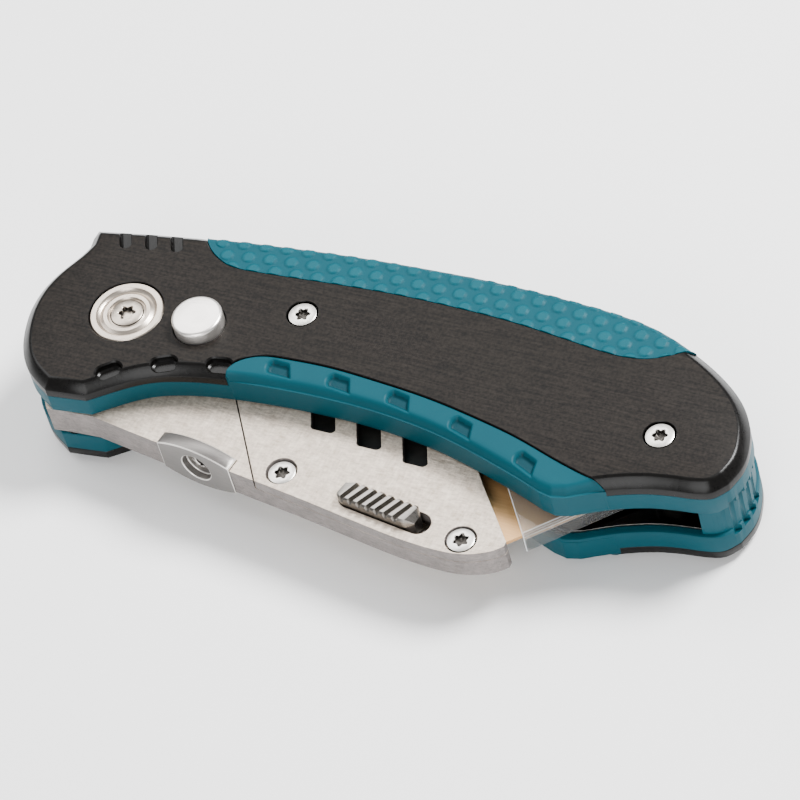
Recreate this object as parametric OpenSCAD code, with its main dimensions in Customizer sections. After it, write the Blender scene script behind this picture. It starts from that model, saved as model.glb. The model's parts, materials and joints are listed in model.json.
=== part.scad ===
// Folding utility knife, folded: two skinned handle halves, a hinged blade holder and a plunge lock.
// Lengths are millimetres. The knife lies on its rear scale, +Z up, X along the handle.
// Everything is drawn around the pivot axis, and place() moves it to the part's own origin.

/* [Handle] */
// Thickness of each outer scale
scale_t = 3.0; // [2.6:0.1:3.4]
// Thickness of each moulded grip plate
grip_t = 3.0; // [2.6:0.1:3.4]
// Thickness of each steel liner
liner_t = 0.6; // [0.5:0.1:0.8]
// Width of the channel that the blade holder folds into
channel_w = 5.6; // [5.5:0.1:6.2]
// Height of the chamfer round the outside of each scale
scale_chamfer = 1.5; // [0.9:0.1:1.8]

/* [Pivot and lock] */
// Diameter of the round pivot cap
cap_d = 12.0; // [11:0.1:12.6]
// Diameter of the pivot barrel
barrel_d = 6.0; // [5.6:0.1:6.4]
// Diameter of the lock button's head
button_d = 8.2; // [7.6:0.1:8.4]
// How far the lock button stands out of the scale
button_rise = 2.1; // [1.9:0.1:2.4]
// How far the lock button travels
button_travel = 1.8; // [1.2:0.1:1.8]

/* [Blade holder] */
// Thickness of the blade holder
holder_t = 5.2; // [5.0:0.1:5.3]
// Thickness of the holder's screwed side plate
cover_t = 2.0; // [1.8:0.1:2.1]
// Travel of the blade release slider
slider_travel = 1.8; // [1.4:0.1:2.2]

/* [Blade] */
// Height of the trapezoid blade, from its back to its edge
blade_h = 18.7; // [18.5:0.1:19]
// Length of the blade's cutting edge
blade_l = 60; // [59:0.5:60.5]
// Thickness of the blade
blade_t = 0.6; // [0.5:0.05:0.6]

/* [Hidden] */
$fn = 48;
play = 0.05;        // running clearance
gap = 0.2;          // clearance between faces that pass each other
button_play = 0.15; // clearance round the button
head_play = 0.25;   // clearance round a let-in head or cap
eps = 0.01;
through = 100;      // height of a cutter that goes right through

// ---- levels, from the rear face up
z_rear_grip = scale_t;
z_rear_liner = z_rear_grip + grip_t;
z_floor = z_rear_liner + liner_t;
z_roof = z_floor + channel_w;
z_front_grip = z_roof + liner_t;
z_front_scale = z_front_grip + grip_t;
z_top = z_front_scale + scale_t;
z_mid = z_top / 2;
z_hold = z_mid - holder_t / 2;
z_cover = z_hold + holder_t - cover_t;
z_blade = z_cover - blade_t - 0.02;

// ---- places round the pivot
button_at = [12.7, 0.8];
screw_a = [27.9, 7.1];
screw_b = [91.5, 0];
tilt = -7.8;                       // the holder's long axis, from X
cover_screw_a = [34.5, -17.8];
cover_screw_b = [67.0, -22.1];
slot_at = [53.4, -20.3];
slot_l = 16.2;
slot_w = 4.0;
blade_back = [72.9, -19.4];        // the corner where the blade's back meets its slanted end
blade_end_angle = 53;              // between the blade's back and its slanted end
cover_head_d = 4.5;
cover_shank_d = 2.0;
cover_head_low = 0.7;              // height of the side plate's screw heads above its underside
scale_head_d = 4.6;
scale_hole_d = 2.6;                // clearance hole for a scale screw
cap_depth = 1.2;                   // how deep the pivot caps are let in
head_h = 1.3;                      // how deep the scale screws are let in
post_d = 4.0;

// ---- curves
function bez(a, b, c, d, t) =
    a * pow(1 - t, 3) + b * 3 * t * pow(1 - t, 2) + c * 3 * t * t * (1 - t) + d * pow(t, 3);
function knot(p, i) = p[min(max(i, 0), len(p) - 1)];
// A smooth curve through points p, with n steps to a span; it leaves out its last point.
function smooth(p, n = 4) = [
    for (i = [0 : len(p) - 2], k = [0 : n - 1])
        let (a = knot(p, i), d = knot(p, i + 1),
             b = a + (d - knot(p, i - 1)) / 6, c = d - (knot(p, i + 2) - a) / 6)
        bez(a, b, c, d, k / n)];
function along(a) = [cos(a), sin(a)];
function arc(c, r, a0, a1, n = 12) = [for (i = [0 : n]) c + r * along(a0 + (a1 - a0) * i / n)];

// ---- the handle's outline, clockwise from the thumb ramp's front corner
ramp_corner = [-13.1, 15.1];
ramp_end = [4.2, 18.1];
back_line = [[5.4, 18.2], [15, 19.5], [30, 21.0], [44, 21.8], [55, 22.1], [66, 21.8], [76, 21.1],
    [83, 19.8], [90, 17.1], [96, 13.8], [100.5, 10.2], [103.4, 6.2], [104.9, 2], [105.2, -1.4],
    [104.4, -4.8]];
butt_line = [[104.4, -4.8], [102.6, -7.0], [100.0, -7.9], [96.0, -8.4], [92.0, -9.2], [87.0, -11.0],
    [81.4, -13.9]];
heel = [79.4, -14.3];
belly_line = [[77.2, -13.9], [71.8, -12.0], [62, -9.1], [54, -7.4], [44, -6.4], [33, -6.4], [22, -7.2],
    [13.4, -8.7], [7.2, -11.1], [0.3, -16.3]];
front_line = [[-6.3, -17.1], [-11.0, -14.1], [-14.2, -9.8], [-16.1, -4.2], [-16.4, 0.6], [-15.5, 4.8],
    [-13.6, 9.3], [-12.9, 11.6]];
function outline() = concat([ramp_corner, [-4, 16.8], ramp_end], smooth(back_line), smooth(butt_line),
    [heel], smooth(belly_line), [[0.3, -16.3]], smooth(front_line, 3), [[-12.9, 11.6], [-13.2, 13.4]]);

// ---- where the moulded grip shows through the scale
back_inlay = [[5.0, 19], [6.8, 16.1], [9.6, 14.0], [13.2, 12.9], [20, 13.2], [30, 14.0], [40, 14.6],
    [50, 14.7], [60, 14.4], [70, 13.4], [76, 12.7], [81, 12.6], [85.5, 13.8], [91.5, 17.6]];
belly_inlay = [[21.2, -8.2], [21.0, -5.8], [22.4, -3.7], [25.4, -2.2], [30, -1.7], [37, -1.5], [45, -2.0],
    [54, -2.9], [62, -4.3], [70, -6.1], [78, -8.6], [83, -10.0], [86.2, -10.7], [88.4, -11.6]];

module handle_2d() { polygon(outline()); }
module back_inlay_2d() { polygon(concat(smooth(back_inlay), [[91.5, 17.6], [91.5, 30], [5.0, 30]])); }
module belly_inlay_2d() { polygon(concat(smooth(belly_inlay), [[89.5, -12.4], [89.5, -22], [21.2, -22]])); }

// A plate of the handle's outline, chamfered in three steps on its outer side.
module skin(t, c) {
    steps = 3;
    linear_extrude(t - c) handle_2d();
    for (i = [1 : steps])
        translate([0, 0, t - c - eps])
            linear_extrude(c * i / steps + eps) offset(delta = -c * (i - 0.5) / steps) handle_2d();
}

// Holes through a stack of plates: the pivot's, the lock's and the two scale screws'.
module stack_holes(pivot_d, lock_d, screw_d) {
    cylinder(d = pivot_d, h = through, center = true);
    translate(button_at) cylinder(d = lock_d, h = through, center = true);
    for (s = [screw_a, screw_b]) translate(s) cylinder(d = screw_d, h = through, center = true);
}

// ---- scales
groove_w = 2.0;
groove_l = 8;
groove_depth = 1.3;
groove_turn = 118;
groove_ends = [[-6.6, 12.8], [-2.3, 13.6], [2.0, 14.3]];   // where each thumb groove's round end is
scoop_l = 4.3;
scoop_w = 2.7;
scoop_depth = 1.45;
scoop_at = [[2.6, -11.6, 42], [10.6, -7.9, 26], [19.4, -5.8, 10]];   // x, y and turn of each finger scoop

// A pocket with round ends, open upwards from z = 0.
module round_slot(l, w, h) {
    for (s = [-1, 1]) translate([s * (l - w) / 2, 0, 0]) cylinder(d = w, h = h);
    translate([-(l - w) / 2, -w / 2, 0]) cube([l - w, w, h]);
}
module scale_plate() {
    difference() {
        skin(scale_t, scale_chamfer);
        translate([0, 0, -1]) linear_extrude(scale_t + 2) {
            back_inlay_2d();
            belly_inlay_2d();
        }
        for (p = groove_ends)
            translate([p.x, p.y, scale_t - groove_depth]) rotate(groove_turn)
                translate([(groove_l - groove_w) / 2, 0, 0]) round_slot(groove_l, groove_w, scale_t);
        for (p = scoop_at)
            translate([p.x, p.y, scale_t - scoop_depth]) rotate(p.z) round_slot(scoop_l, scoop_w, scale_t);
    }
}
module front_scale() {
    color([0.10, 0.095, 0.09]) difference() {
        translate([0, 0, z_front_scale]) scale_plate();
        stack_holes(barrel_d + 2 * play, button_d + 2 * button_play, scale_hole_d);
        translate([0, 0, z_top - cap_depth]) cylinder(d = cap_d + 2 * gap, h = scale_t);
        for (s = [screw_a, screw_b])
            translate([s.x, s.y, z_top - head_h]) cylinder(d = scale_head_d + 2 * head_play, h = scale_t);
    }
}
module rear_scale() {
    color([0.10, 0.095, 0.09]) difference() {
        translate([0, 0, scale_t]) mirror([0, 0, 1]) scale_plate();
        cylinder(d = barrel_d + 2 * play, h = through, center = true);
        for (s = [screw_a, screw_b]) {
            translate(s) cylinder(d = scale_hole_d, h = through, center = true);
            translate(s) cylinder(d = scale_head_d + 2 * head_play, h = 2 * head_h, center = true);
        }
        cylinder(d = cap_d + 2 * gap, h = 2 * cap_depth, center = true);
        translate([button_at.x, button_at.y, z_seat]) cylinder(d = seat_d, h = through);
    }
}

// ---- moulded grips, each a plate with two raised areas that fill the gaps in its scale
inlay_gap = 0.06;
inlay_low = 0.25;                  // how far the raised areas sit below the scale's face
module grip_inlay_2d() {
    offset(delta = -inlay_gap) {
        intersection() {
            handle_2d();
            back_inlay_2d();
        }
        intersection() {
            handle_2d();
            belly_inlay_2d();
        }
    }
}
pocket_at = [[28.7, -3.7], [39.1, -3.7], [49.6, -4.3], [61.2, -6.4], [73.5, -10.0]];
pocket_turn = [-2, -6, -10, -17, -24];
pocket_l = 4.6;
pocket_w = 2.9;
pocket_depth = 0.9;
// A scoop in the lower pad: square at the left, slanted at the right.
module pocket() {
    lead = 0.8;
    linear_extrude(2) polygon([[-pocket_l / 2, -pocket_w / 2], [-pocket_l / 2, pocket_w / 2],
        [pocket_l / 2 - lead, pocket_w / 2], [pocket_l / 2 + lead, -pocket_w / 2]]);
}
module grip_half() {
    difference() {
        union() {
            translate([0, 0, -liner_t]) linear_extrude(grip_t + liner_t) handle_2d();
            intersection() {
                translate([0, 0, grip_t - eps]) skin(scale_t - inlay_low, scale_chamfer);
                translate([0, 0, grip_t - 1]) linear_extrude(scale_t + 1) grip_inlay_2d();
            }
        }
        for (i = [0 : len(pocket_at) - 1])
            translate([pocket_at[i].x, pocket_at[i].y, grip_t + scale_t - pocket_depth])
                rotate(pocket_turn[i]) pocket();
        translate([0, 0, -2 * liner_t]) linear_extrude(2 * liner_t) offset(delta = liner_gap) liner_2d();
        for (s = [screw_a, screw_b]) translate(s) cylinder(d = post_d, h = through, center = true);
        cylinder(d = barrel_d + 2 * play, h = through, center = true);
    }
}
module front_grip() {
    color([0.07, 0.36, 0.43]) difference() {
        translate([0, 0, z_front_grip]) grip_half();
        translate(button_at) cylinder(d = button_d + 2 * button_play, h = through);
        butt_ribs();
        dowels();
    }
}
module rear_grip() {
    color([0.07, 0.36, 0.43]) difference() {
        translate([0, 0, z_floor - liner_t]) mirror([0, 0, 1]) grip_half();
        translate([button_at.x, button_at.y, z_seat]) cylinder(d = seat_d, h = through);
        butt_ribs();
        dowels();
    }
}
thread_d = 2.4;
thread_l = 3.4;
screw_l = 4.4;

// ---- steel liners that face the channel, each let into its grip flush with the rim
liner_inset = 1.6;
liner_gap = 0.3;
liner_tab_at = [-4.6, -14.9];
liner_tab_r = 1.5;
module liner_2d() {
    difference() {
        offset(delta = -liner_inset) handle_2d();
        polygon(concat(smooth(butt_inner), [[90.3, 12.4], [95, 30], [130, 30], [130, -20], [100, -20]]));
    }
    translate(liner_tab_at) circle(r = liner_tab_r);
}
module front_liner() {
    color([0.30, 0.30, 0.31]) difference() {
        translate([0, 0, z_roof]) linear_extrude(liner_t) liner_2d();
        stack_holes(barrel_d + 2 * play, button_d + 2 * button_play, post_d);
        dowels();
    }
}
module rear_liner() {
    color([0.30, 0.30, 0.31]) difference() {
        translate([0, 0, z_rear_liner]) linear_extrude(liner_t) liner_2d();
        stack_holes(barrel_d + 2 * play, seat_d, post_d);
        dowels();
    }
}

// ---- what holds the two halves apart: a bar along the back and a block at the butt
spacer_line = [[16, 16.2], [30, 17.9], [44, 18.6], [55, 18.9], [66, 18.6], [76, 17.8], [83, 16.4],
    [90, 13.4]];
spacer_top = [[90, 16.4], [83, 19.1], [76, 20.4], [66, 21.1], [55, 21.4], [44, 21.1], [30, 20.3],
    [16, 18.9]];
dowel_at = [[24, 18.5], [84, 17.3]];
dowel_d = 1.6;
module dowels() {
    for (p = dowel_at)
        translate([p.x, p.y, z_rear_liner]) cylinder(d = dowel_d, h = channel_w + 2 * liner_t);
}
module back_spacer() {
    color([0.07, 0.34, 0.41]) difference() {
        translate([0, 0, z_floor]) linear_extrude(channel_w)
            polygon(concat(smooth(spacer_line), [[90, 13.4]], smooth(spacer_top), [[16, 18.9]]));
        dowels();
    }
}
module spacer_dowels() {
    color([0.6, 0.6, 0.62]) dowels();
}
butt_outer = [[90.3, 16.3], [95.6, 13.3], [100.0, 9.8], [103.0, 5.9], [104.5, 1.9], [104.7, -1.4],
    [103.9, -4.5], [102.2, -6.5], [99.7, -7.4]];
butt_inner = [[99.7, -7.4], [98.2, -3.4], [97.0, 1.6], [95.2, 6.2], [90.3, 12.4]];
rib_at = [[104.45, -4.8], [105.05, -2.7], [105.2, -0.5], [105.0, 1.7]];   // recesses round the butt
rib_d = 1.6;
rib_low = 5.5;
module butt_ribs() {
    for (p = rib_at) translate([p.x, p.y, rib_low]) cylinder(d = rib_d, h = z_top - 2 * rib_low);
}
module butt_block() {
    color([0.07, 0.34, 0.41]) difference() {
        translate([0, 0, z_floor]) linear_extrude(channel_w)
            polygon(concat(smooth(butt_outer), smooth(butt_inner), [[90.3, 12.4]]));
        butt_ribs();
    }
}

// ---- scale screws, and the posts between the halves that take them
module recess(d, h) {
    for (i = [0 : 2]) rotate(60 * i) cube([d, d * 0.36, 2 * h], center = true);
    cylinder(d = d * 0.72, h = 2 * h, center = true);
}
module screw(head_d, head_h, shank_d, shank_l) {
    difference() {
        union() {
            cylinder(d = head_d, h = head_h);
            translate([0, 0, -shank_l]) cylinder(d = shank_d, h = shank_l + eps);
        }
        translate([0, 0, head_h]) recess(head_d * 0.54, 0.7);
    }
}
module front_screws() {
    color([0.75, 0.73, 0.70]) for (s = [screw_a, screw_b])
        translate([s.x, s.y, z_top - head_h]) screw(scale_head_d, head_h - 0.1, thread_d, screw_l);
}
module rear_screws() {
    color([0.75, 0.73, 0.70]) for (s = [screw_a, screw_b])
        translate([s.x, s.y, head_h]) mirror([0, 0, 1]) screw(scale_head_d, head_h - 0.1, thread_d, screw_l);
}
module spacer_posts() {
    color([0.66, 0.66, 0.68]) for (p = [screw_a, screw_b]) translate([p.x, p.y, 0]) difference() {
        translate([0, 0, z_rear_grip]) cylinder(d = post_d, h = z_front_scale - z_rear_grip);
        for (z = [z_rear_grip - 1, z_front_scale - thread_l])
            translate([0, 0, z]) cylinder(d = thread_d, h = thread_l + 1);
    }
}

// ---- pivot: a hollow barrel through everything, a cap let into each scale, and one screw
washer_t = 0.6;
washer_d = 13;
pivot_head_d = 4.5;
pivot_thread_d = 3.0;
cap_rings = [[9.4, 8.6, 0.35], [6.2, 5.2, 0.45]];   // each groove's outer and inner diameter and depth
module pivot_barrel() {
    color([0.62, 0.62, 0.64]) difference() {
        translate([0, 0, cap_depth]) cylinder(d = barrel_d, h = z_top - 2 * cap_depth);
        translate([0, 0, z_mid]) cylinder(d = pivot_thread_d, h = through);
    }
}
module cap_disc() {
    difference() {
        cylinder(d = cap_d, h = cap_depth - 0.1);
        for (ring = cap_rings) translate([0, 0, cap_depth - ring.z]) difference() {
            cylinder(d = ring.x, h = 1);
            translate([0, 0, -1]) cylinder(d = ring.y, h = 3);
        }
    }
}
module pivot_cap_front() {
    color([0.75, 0.73, 0.70]) difference() {
        translate([0, 0, z_top - cap_depth]) cap_disc();
        translate([0, 0, z_mid]) cylinder(d = pivot_head_d + 2 * play, h = through);
    }
}
module pivot_cap_rear() {
    color([0.75, 0.73, 0.70]) translate([0, 0, cap_depth]) mirror([0, 0, 1]) cap_disc();
}
module pivot_screw() {
    color([0.72, 0.70, 0.68]) translate([0, 0, z_top - cap_depth])
        screw(pivot_head_d, cap_depth - 0.25, pivot_thread_d, 7.0);
}
module pivot_washer(z) {
    color([0.70, 0.58, 0.36]) translate([0, 0, z]) difference() {
        cylinder(d = washer_d, h = washer_t);
        cylinder(d = barrel_d + play, h = through, center = true);
    }
}

// ---- plunge lock: a button on a stem, a collar in the tang's slot, a spring and its seat
collar_d = 6.8;
lock_play = 0.35;                  // clearance of the collar in the tang's slot
stem_d = 3.4;
button_h = 5.0;
button_edge = 0.4;
z_button = z_top + button_rise;
z_seat = 1.4;
seat_d = 6.4;
seat_t = 0.8;
collar_h = 1.6;
pin_d = 2.4;
z_collar = z_floor + 2.4;
z_pin = z_seat + seat_t + button_travel + 0.5;
module lock_plunger() {
    color([0.82, 0.80, 0.76]) translate([button_at.x, button_at.y, 0]) {
        translate([0, 0, z_button - button_h]) cylinder(d = button_d, h = button_h - button_edge);
        translate([0, 0, z_button - button_edge - eps])
            cylinder(d1 = button_d, d2 = button_d - 2 * button_edge, h = button_edge + eps);
        translate([0, 0, z_collar]) cylinder(d = stem_d, h = z_button - button_h - z_collar + eps);
        translate([0, 0, z_pin]) cylinder(d = pin_d, h = z_collar - z_pin + eps);
    }
}
module lock_collar() {
    color([0.55, 0.55, 0.57]) translate([button_at.x, button_at.y, z_collar - collar_h]) difference() {
        cylinder(d = seat_d - 0.4, h = collar_h);
        translate([0, 0, -1]) cylinder(d = pin_d, h = 5);
    }
}
module lock_seat() {
    color([0.55, 0.55, 0.57]) translate([button_at.x, button_at.y, z_seat]) difference() {
        cylinder(d = seat_d, h = seat_t);
        translate([0, 0, -1]) cylinder(d = 1.2, h = 5);
    }
}
// A round wire along a list of points, as one closed polyhedron.
function unit(v) = v / norm(v);
module wire(path, r, sides = 8) {
    n = len(path);
    ring = [for (i = [0 : n - 1])
        let (t = unit(path[min(i + 1, n - 1)] - path[max(i - 1, 0)]),
             u = unit(cross(t, abs(t.z) > 0.9 ? [1, 0, 0] : [0, 0, 1])), v = cross(t, u))
        for (k = [0 : sides - 1]) path[i] + r * (u * cos(360 * k / sides) + v * sin(360 * k / sides))];
    faces = concat(
        [for (i = [0 : n - 2], k = [0 : sides - 1], half = [0, 1])
            let (a = i * sides, b = a + sides, m = (k + 1) % sides)
            half == 0 ? [a + k, b + k, b + m] : [a + k, b + m, a + m]],
        [[for (k = [0 : sides - 1]) k]],
        [[for (k = [sides - 1 : -1 : 0]) (n - 1) * sides + k]]);
    polyhedron(ring, faces);
}
function helix(r, z0, z1, turns, steps = 14) = [for (i = [0 : turns * steps])
    [r * cos(360 * i / steps), r * sin(360 * i / steps), z0 + (z1 - z0) * i / (turns * steps)]];
module lock_spring() {
    color([0.7, 0.7, 0.72]) translate([button_at.x, button_at.y, 0])
        wire(helix(2.2, z_seat + seat_t + 0.3, z_collar - collar_h - 0.3, 4), 0.25, 6);
}

// ---- blade holder. The tang is a disc with a shoulder; a curved slot lets it pass the lock's collar.
tang_r = button_at.x - collar_d / 2 - lock_play;
slot_r = button_at.x + collar_d / 2 + lock_play;
tang_outer_r = 16.6;
tang_tip = [[-9.0, -15.2], [-7.7, -16.9], [-4.9, -16.6]];
spine_a = [[0.4, -16.3], [5, -17.0], [10, -17.75], [27, -20.2], [40, -22.0], [50, -23.6], [57, -24.6],
    [62, -25.0], [66.5, -24.95], [69.8, -24.2], [72.4, -22.9], [73.9, -21.5]];
nose = [[73.9, -20.6], [66.6, -12.2], [62.4, -7.0], [58.6, -2.4]];
top_edge = [[56.6, -0.4], [54, 0.5], [48, 1.4], [36, 3.0], [29.0, 4.0], [24.5, 4.2], [21.2, 2.4],
    [17.4, -1.0]];
module holder_2d() {
    difference() {
        union() {
            polygon(concat(arc([0, 0], tang_outer_r, 196, 236), tang_tip, smooth(spine_a, 3), [[73.9, -21.5]],
                nose, smooth(top_edge, 3), [[17.4, -1.0], [10, -3], [0, 0]]));
            circle(r = tang_r);
        }
        difference() {
            circle(r = slot_r);
            circle(r = tang_r);
            polygon([[0, 0], 30 * along(4), [30, -60], [-60, -60], 30 * along(183.6)]);
        }
        for (s = [1, -1, -1.2]) translate(s * button_at) circle(d = collar_d + 2 * lock_play);
    }
}
seam = [[19.4, -4.0], [33.4, -23.9]];                 // where the side plate meets the tang
module cover_2d(c = 0) {
    intersection() {
        holder_2d();
        polygon([[seam[0].x + c, seam[0].y], [seam[1].x + c, seam[1].y], [80, -40], [95, 0], [60, 20],
            [13 + c, 5]]);
    }
}
window_at = [37.2, -8.9];
window_drop = 1.05;
window_w = 4.2;
window_r = 0.8;
window_pitch = 8.4;
window_lean = -3.0;
window_h = 7;
module windows() {
    reach = window_w / 2 - window_r;
    for (i = [0 : 2]) translate([window_at.x + window_pitch * i, window_at.y - window_drop * i, z_cover - 1])
        linear_extrude(10) polygon(concat(arc([reach, window_r], window_r, 0, -90, 5),
            arc([-reach, window_r], window_r, -90, -180, 5),
            [[window_lean - window_w / 2, window_h], [window_lean + window_w / 2, window_h]]));
}
module slot(l, w, h) {
    translate([slot_at.x, slot_at.y, 0]) rotate(tilt) round_slot(l, w, h);
}
thumb_at = [19.7, -19.2];
thumb_l = 13.8;
thumb_w = 8.6;
thumb_bulge = 1.4;
thumb_t = 2.3;
thumb_shank_d = 2.0;
thumb_recess = [5.3, 1.2];         // diameter and depth of the recess for its screw's head
module thumb_notch() {
    translate([thumb_at.x, thumb_at.y, z_mid]) rotate(tilt)
        translate([-thumb_l / 2, -3, -10]) cube([thumb_l, 3 + thumb_t, 20]);
}
module holder_frame() {
    color([0.74, 0.72, 0.69]) difference() {
        union() {
            translate([0, 0, z_hold]) linear_extrude(holder_t) difference() {
                holder_2d();
                cover_2d(-0.25);
            }
            translate([0, 0, z_hold]) linear_extrude(holder_t - cover_t) holder_2d();
        }
        cylinder(d = bush_d, h = through, center = true);
        for (z = [z_hold - 10 + washer_inset, z_hold + holder_t - washer_inset])
            translate([0, 0, z]) cylinder(d = washer_d + 2 * gap, h = 10);
        blade_pocket();
        translate([0, 0, z_hold + 0.8]) slot(slot_l + 4, slot_w + 1.6, 30);
        for (s = [cover_screw_a, cover_screw_b]) translate(s) cylinder(d = cover_shank_d, h = through);
        thumb_notch();
        thumb_bore(thumb_shank_d, 8);
    }
}
washer_inset = washer_t - gap + play;
bush_d = 8.0;
module thumb_bore(d, l) {
    translate([thumb_at.x, thumb_at.y, z_mid]) rotate(tilt) rotate([-90, 0, 0])
        translate([0, 0, -5]) cylinder(d = d, h = 5 + l);
}
module tang_bush() {
    color([0.70, 0.58, 0.36]) translate([0, 0, z_hold + washer_inset]) difference() {
        cylinder(d = bush_d, h = holder_t - 2 * washer_inset);
        translate([0, 0, -1]) cylinder(d = barrel_d + 2 * play, h = 20);
    }
}
notch_at = [-9.5, -24.5];
notch = [3, 2.4];                  // width and depth of each notch in the blade's back
module blade_2d(c = 0) {
    run = blade_h / tan(blade_end_angle);
    translate(blade_back) rotate(tilt)
        polygon([[c, -c], [run + 2 * c, blade_h + c], [run - blade_l - 2 * c, blade_h + c],
            [2 * run - blade_l - c, -c]]);
}
module blade_pocket() {
    translate([0, 0, z_blade - 0.02]) linear_extrude(10) blade_2d(0.08);
}
module blade() {
    color([0.80, 0.62, 0.36]) translate([0, 0, z_blade]) linear_extrude(blade_t) difference() {
        blade_2d();
        translate(blade_back) rotate(tilt)
            for (x = notch_at) translate([x - notch[0] / 2, -1]) square([notch[0], 1 + notch[1]]);
    }
}
module holder_cover() {
    color([0.76, 0.74, 0.71]) difference() {
        translate([0, 0, z_cover]) linear_extrude(cover_t) cover_2d();
        windows();
        translate([0, 0, z_cover - 1]) linear_extrude(1 + catch_t + play) catch_plate_2d(gap, slider_travel);
        slot(slot_l, slot_w, through);
        for (s = [cover_screw_a, cover_screw_b]) {
            translate(s) cylinder(d = cover_shank_d + 2 * gap, h = through);
            translate([s.x, s.y, z_cover + cover_head_low])
                cylinder(d = cover_head_d + 2 * head_play, h = cover_t);
        }
        thumb_notch();
    }
}
module cover_screws() {
    color([0.78, 0.76, 0.73]) for (s = [cover_screw_a, cover_screw_b])
        translate([s.x, s.y, z_cover + cover_head_low])
            screw(cover_head_d, cover_t - cover_head_low - play, cover_shank_d, 2.8);
}

// ---- thumb plate: an oval plate let into the holder's spine, wider than the holder
module thumb_plate() {
    side_r = (pow(thumb_l / 2, 2) + pow(thumb_bulge, 2)) / (2 * thumb_bulge);
    color([0.72, 0.70, 0.69]) difference() {
        translate([thumb_at.x, thumb_at.y, z_mid]) rotate(tilt) rotate([-90, 0, 0])
            translate([0, 0, -0.1]) linear_extrude(thumb_t + 0.08) intersection() {
                square([thumb_l - 0.16, thumb_w], center = true);
                translate([0, thumb_w / 2 - side_r]) circle(r = side_r, $fn = 96);
                translate([0, side_r - thumb_w / 2]) circle(r = side_r, $fn = 96);
            }
        thumb_bore(thumb_shank_d, 8);
        thumb_bore(thumb_recess[0], thumb_recess[1]);
    }
}
module thumb_screw() {
    color([0.6, 0.58, 0.55]) translate([thumb_at.x, thumb_at.y, z_mid]) rotate(tilt) rotate([90, 0, 0])
        translate([0, 0, -thumb_recess[1]]) screw(thumb_recess[0] - 1, 0.7, thumb_shank_d, 4.6);
}

// ---- blade release: a ribbed slider in the cover's slot, its catch inside and a return spring
slider_l = slot_l - slider_travel - 2 * gap;
slider_rise = 1.9;
rib_pitch = 1.65;
catch_low = z_hold + 0.85;
catch_t = 0.4;
catch_lip = [slot_w / 2 - play, slot_w / 2 + 0.5];   // where the thin plate joins the catch
catch_plate = [27.8, 10.9];
catch_neck = [6, 5];
module slider_frame() {
    translate([slot_at.x, slot_at.y, 0]) rotate(tilt)
        translate([-(slot_l - slider_l) / 2 + gap, 0, 0]) children();
}
module release_slider() {
    w = slot_w - 0.3;
    color([0.55, 0.53, 0.50]) slider_frame() difference() {
        translate([0, 0, z_cover]) round_slot(slider_l, w, cover_t + slider_rise);
        for (i = [-2.5 : 2.5])
            translate([i * rib_pitch, 0, z_cover + cover_t + slider_rise + 0.1]) rotate([90, 0, -24])
                cylinder(d = 1.1, h = 10, center = true);
    }
}
// The thin plate that the catch carries under the windows; c is clearance and travel lengthens it.
module catch_plate_2d(c = 0, travel = 0) {
    translate(slot_at) rotate(tilt) {
        translate([-24.4 - c, 6 - c]) square([catch_plate[0] + 2 * c + travel, catch_plate[1] + 2 * c]);
        translate([-5 - c, catch_lip[0] - c]) square([catch_neck[0] + 2 * c + travel, catch_neck[1] + 2 * c]);
    }
}
module release_catch() {
    color([0.12, 0.12, 0.12]) {
        slider_frame() {
            translate([-slider_l / 2 + 1.4, -slot_w / 2 - 0.5, catch_low])
                cube([slider_l - 3.4, slot_w + 1.0, z_cover - catch_low - eps]);
            translate([-3, catch_lip[0], z_cover - 0.5])
                cube([4, catch_lip[1] - catch_lip[0], 0.5 + catch_t]);
        }
        translate([0, 0, z_cover + 0.02]) linear_extrude(catch_t - 0.02) catch_plate_2d();
    }
}
// The spring is drawn pressed flat, so that it keeps clear of the catch over the whole travel.
module release_spring() {
    color([0.7, 0.7, 0.72]) translate([slot_at.x, slot_at.y, z_hold + 2.1]) rotate(tilt)
        translate([6.1, 0, 0]) rotate([0, 90, 0]) wire(helix(0.8, 0, 3.2, 4, 12), 0.18, 6);
}

// ---- clear guard over the blade's point
guard_wall = 0.9;
guard_side = 1.9;
guard_r = 90.2;                     // how far the guard reaches from the pivot, short of the butt post
module guard_2d(c) {
    intersection() {
        blade_2d(c);
        polygon([[78.6, -22.5], [71.5, -13.1], [64.5, -4.0], [66.0, 10], [100, 10], [100, -22]]);
        circle(r = guard_r, $fn = 180);
    }
}
module blade_guard() {
    color([0.85, 0.9, 0.92, 0.4]) difference() {
        translate([0, 0, z_blade - guard_side]) linear_extrude(blade_t + 2 * guard_side) guard_2d(guard_wall);
        translate([0, 0, z_blade - 0.04]) linear_extrude(blade_t + 0.08) blade_2d(0.04);
    }
}

// The origin is under the middle of the whole knife's box.
function xs(p) = [for (q = p) q.x];
function ys(p) = [for (q = p) q.y];
middle = [(min(xs(outline())) + max(xs(outline()))) / 2,
    (max(ys(outline())) + min(ys(smooth(spine_a, 3)))) / 2];
module place() { translate([-middle.x, -middle.y, 0]) children(); }

place() rear_scale();
place() rear_grip();
place() rear_liner();
place() back_spacer();
place() butt_block();
place() spacer_dowels();
place() front_liner();
place() front_grip();
place() front_scale();
place() pivot_barrel();
place() pivot_cap_front();
place() pivot_cap_rear();
place() pivot_screw();
place() pivot_washer(z_roof - washer_t);  // pivot_washer_front
place() pivot_washer(z_floor);  // pivot_washer_rear
place() spacer_posts();
place() front_screws();
place() rear_screws();
place() lock_plunger();
place() lock_collar();
place() lock_spring();
place() lock_seat();
place() holder_frame();
place() holder_cover();
place() cover_screws();
place() thumb_plate();
place() thumb_screw();
place() blade();
place() blade_guard();
place() release_slider();
place() release_catch();
place() release_spring();
place() tang_bush();
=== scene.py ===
import json
import math

import bmesh
import bpy
from mathutils import Matrix, Vector

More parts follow.
